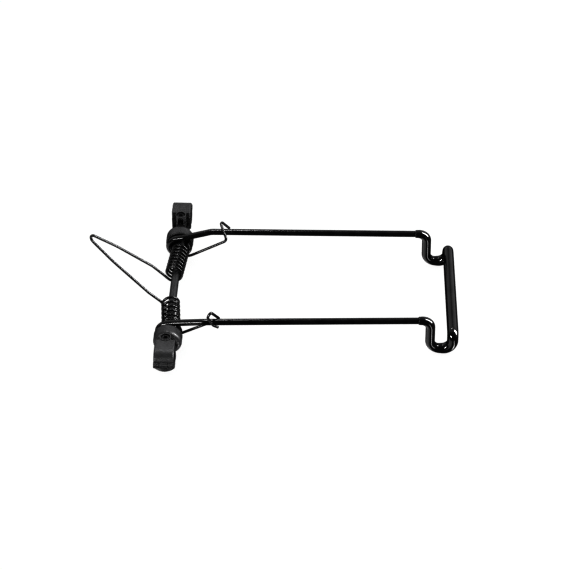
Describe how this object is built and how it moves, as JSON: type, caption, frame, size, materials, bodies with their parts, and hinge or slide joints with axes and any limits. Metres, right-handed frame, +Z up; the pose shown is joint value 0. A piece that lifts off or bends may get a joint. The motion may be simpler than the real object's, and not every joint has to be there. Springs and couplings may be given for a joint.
{
  "type": "luggage rack spring clamp",
  "caption": "Wire bail with a sleeved hand bar, turned down by a double torsion spring on an axle between two hinged clips for rack tubes.",
  "frame": {"origin": "middle of the axle that the bail turns on, midway between the two tube clips", "axes": "+X along the bail arms to the hand bar and along the rack tubes, +Y along the axle to the rear clip, +Z up"},
  "size_m": [0.2377, 0.1654, 0.0541],
  "materials": {
    "rod_coating": "satin gloss black coating",
    "sleeve_pvc": "glossy soft PVC",
    "axle_steel": "satin dark grey zinc",
    "spring_wire": "black coated spring steel",
    "clip_plastic": "fine textured charcoal nylon",
    "screw_steel": "black oxide",
    "pin_steel": "plain zinc plated"
  },
  "bodies": {
    "clips": {"clamp_body_rear": "clip_plastic", "clamp_body_front": "clip_plastic", "pivot_rod": "axle_steel", "hinge_pin_rear": "pin_steel", "hinge_pin_front": "pin_steel", "clamp_nut_rear": "pin_steel", "clamp_nut_front": "pin_steel"},
    "spring": {"torsion_spring": "spring_wire"},
    "bail": {"bail": "rod_coating", "grip_sleeve": "sleeve_pvc"},
    "cap_rear": {"clamp_cap_rear": "clip_plastic"},
    "cap_front": {"clamp_cap_front": "clip_plastic"},
    "screw_rear": {"clamp_screw_rear": "screw_steel"},
    "screw_front": {"clamp_screw_front": "screw_steel"}
  },
  "joints": [
    {"name": "loop_swing", "type": "hinge", "parent": "clips", "child": "spring", "pos_m": [0, 0, 0], "axis": [0, -1, 0], "range_deg": [0, 38]},
    {"name": "bail_lift", "type": "hinge", "parent": "spring", "child": "bail", "pos_m": [0, 0, 0], "axis": [0, -1, 0], "range_deg": [0, 100], "stiffness_Nm_per_rad": 0.49, "deforming": ["torsion_spring"]},
    {"name": "cap_open_rear", "type": "hinge", "parent": "clips", "child": "cap_rear", "pos_m": [0, 0.0806, 0.005], "axis": [-1, 0, 0], "range_deg": [0, 110]},
    {"name": "cap_open_front", "type": "hinge", "parent": "clips", "child": "cap_front", "pos_m": [0, -0.0806, 0.005], "axis": [1, 0, 0], "range_deg": [0, 110]},
    {"name": "screw_turn_rear", "type": "hinge", "parent": "cap_rear", "child": "screw_rear", "pos_m": [0, 0.0625, 0.005], "axis": [0, 0, 1], "continuous": true},
    {"name": "screw_turn_front", "type": "hinge", "parent": "cap_front", "child": "screw_front", "pos_m": [0, -0.0625, 0.005], "axis": [0, 0, 1], "continuous": true}
  ]
}
